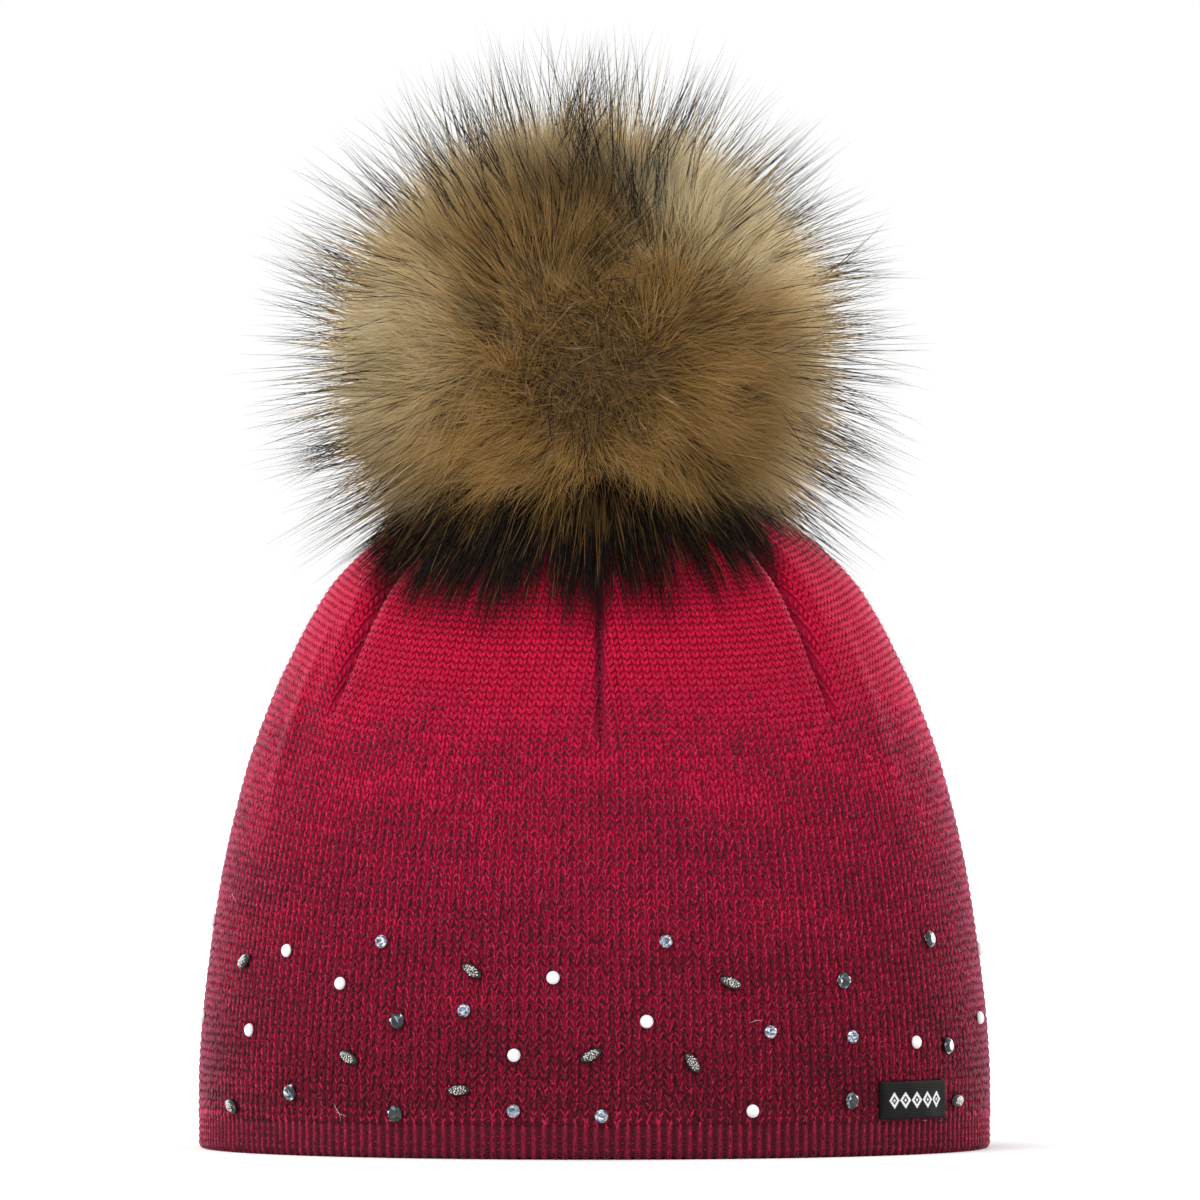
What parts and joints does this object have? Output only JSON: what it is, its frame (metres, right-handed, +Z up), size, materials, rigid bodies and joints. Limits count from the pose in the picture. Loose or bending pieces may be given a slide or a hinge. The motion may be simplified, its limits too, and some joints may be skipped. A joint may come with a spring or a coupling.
{
  "type": "bobble hat",
  "caption": "Fine-knit bobble hat with a darted crown, narrow ribbed hem, long-haired pompom, woven patch and small set studs round the front.",
  "frame": {"origin": "centre of the rim on the surface that the hat stands on", "axes": "+Z up through the crown and pompom, the front of the hat faces -Y, +X to the right seen from the front"},
  "size_m": [0.18, 0.1817, 0.2537],
  "materials": {
    "knit": "matt marled wool-blend fine knit, crimson at the top shading to dark burgundy",
    "rib": "matt burgundy 1x1 rib knit",
    "fur": "silky long-haired imitation fur, tan with black tips",
    "patch": "black satin-woven patch with a plain white woven motif",
    "white_stud": "matt white enamel dome",
    "clear_stone": "foil-backed clear cut glass",
    "smoke_stone": "foil-backed smoky cut glass",
    "grain_stud": "black enamel oval set with silver grains"
  },
  "bodies": {
    "root": {"knit_crown": "knit", "rib_hem": "rib", "pompom": "fur", "label": "patch", "dome_stud_01": "white_stud", "dome_stud_02": "white_stud", "dome_stud_03": "white_stud", "dome_stud_04": "white_stud", "dome_stud_05": "white_stud", "dome_stud_06": "white_stud", "dome_stud_07": "white_stud", "dome_stud_08": "white_stud", "dome_stud_09": "white_stud", "dome_stud_10": "white_stud", "dome_stud_11": "white_stud", "dome_stud_12": "white_stud", "clear_stone_01": "clear_stone", "clear_stone_02": "clear_stone", "clear_stone_03": "clear_stone", "clear_stone_04": "clear_stone", "clear_stone_05": "clear_stone", "clear_stone_06": "clear_stone", "clear_stone_07": "clear_stone", "smoke_stone_01": "smoke_stone", "smoke_stone_02": "smoke_stone", "smoke_stone_03": "smoke_stone", "smoke_stone_04": "smoke_stone", "smoke_stone_05": "smoke_stone", "smoke_stone_06": "smoke_stone", "smoke_stone_07": "smoke_stone", "oval_stud_01": "grain_stud", "oval_stud_02": "grain_stud", "oval_stud_03": "grain_stud", "oval_stud_04": "grain_stud", "oval_stud_05": "grain_stud", "oval_stud_06": "grain_stud", "oval_stud_07": "grain_stud", "oval_stud_08": "grain_stud", "oval_stud_09": "grain_stud"}
  },
  "joints": []
}
